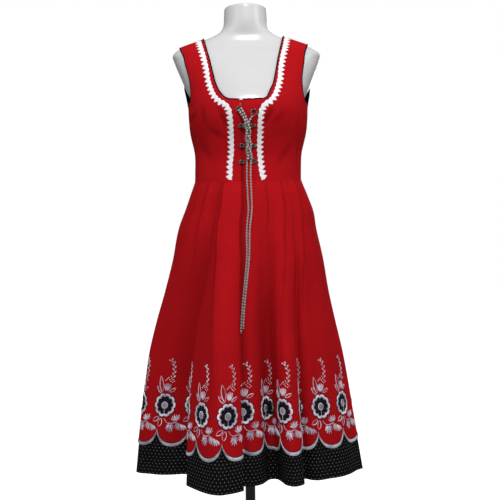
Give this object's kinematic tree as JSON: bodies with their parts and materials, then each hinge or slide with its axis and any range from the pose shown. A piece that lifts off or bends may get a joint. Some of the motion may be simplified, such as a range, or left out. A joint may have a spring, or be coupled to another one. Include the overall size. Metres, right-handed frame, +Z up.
{
  "type": "dirndl dress on a dress form stand",
  "caption": "Sleeveless red dirndl with a laced bodice, white braid trim and a scalloped skirt over a black hem band, worn on a headless form with a pole and a round base.",
  "frame": {"origin": "centre of the underside of the round base, on the floor", "axes": "+Z up along the pole; the front of the dress faces -Y; +X is the viewer's right when facing the front"},
  "size_m": [0.5978, 0.4202, 1.487],
  "materials": {
    "red_cloth": "matt woven cotton",
    "black_cloth": "matt woven cotton",
    "white_braid": "braided thread",
    "silver_cord": "twisted metallic thread",
    "antique_silver": "antique silver plate",
    "white_shell": "satin white",
    "dark_iron": "satin dark grey"
  },
  "bodies": {
    "root": {"bodice_front_left": "red_cloth", "bodice_front_right": "red_cloth", "bodice_back": "red_cloth", "skirt_front_left": "red_cloth", "skirt_front_right": "red_cloth", "skirt_back": "red_cloth", "hem_band_front_left": "black_cloth", "hem_band_front_right": "black_cloth", "hem_band_back": "black_cloth", "armhole_lining_left": "black_cloth", "armhole_lining_right": "black_cloth", "neck_piping": "black_cloth", "armhole_piping_left": "black_cloth", "armhole_piping_right": "black_cloth", "trim_front_left": "white_braid", "trim_front_right": "white_braid", "trim_back": "white_braid", "lacing_left": "silver_cord", "lacing_middle": "silver_cord", "lacing_right": "silver_cord", "lace_end_left": "silver_cord", "lace_end_right": "silver_cord", "lace_eye_left_1": "antique_silver", "lace_eye_left_2": "antique_silver", "lace_eye_left_3": "antique_silver", "lace_eye_left_4": "antique_silver", "lace_eye_right_1": "antique_silver", "lace_eye_right_2": "antique_silver", "lace_eye_right_3": "antique_silver", "lace_eye_right_4": "antique_silver", "closing_hook": "antique_silver", "dress_form": "white_shell", "stand_pole": "dark_iron", "stand_base": "dark_iron"}
  },
  "joints": []
}
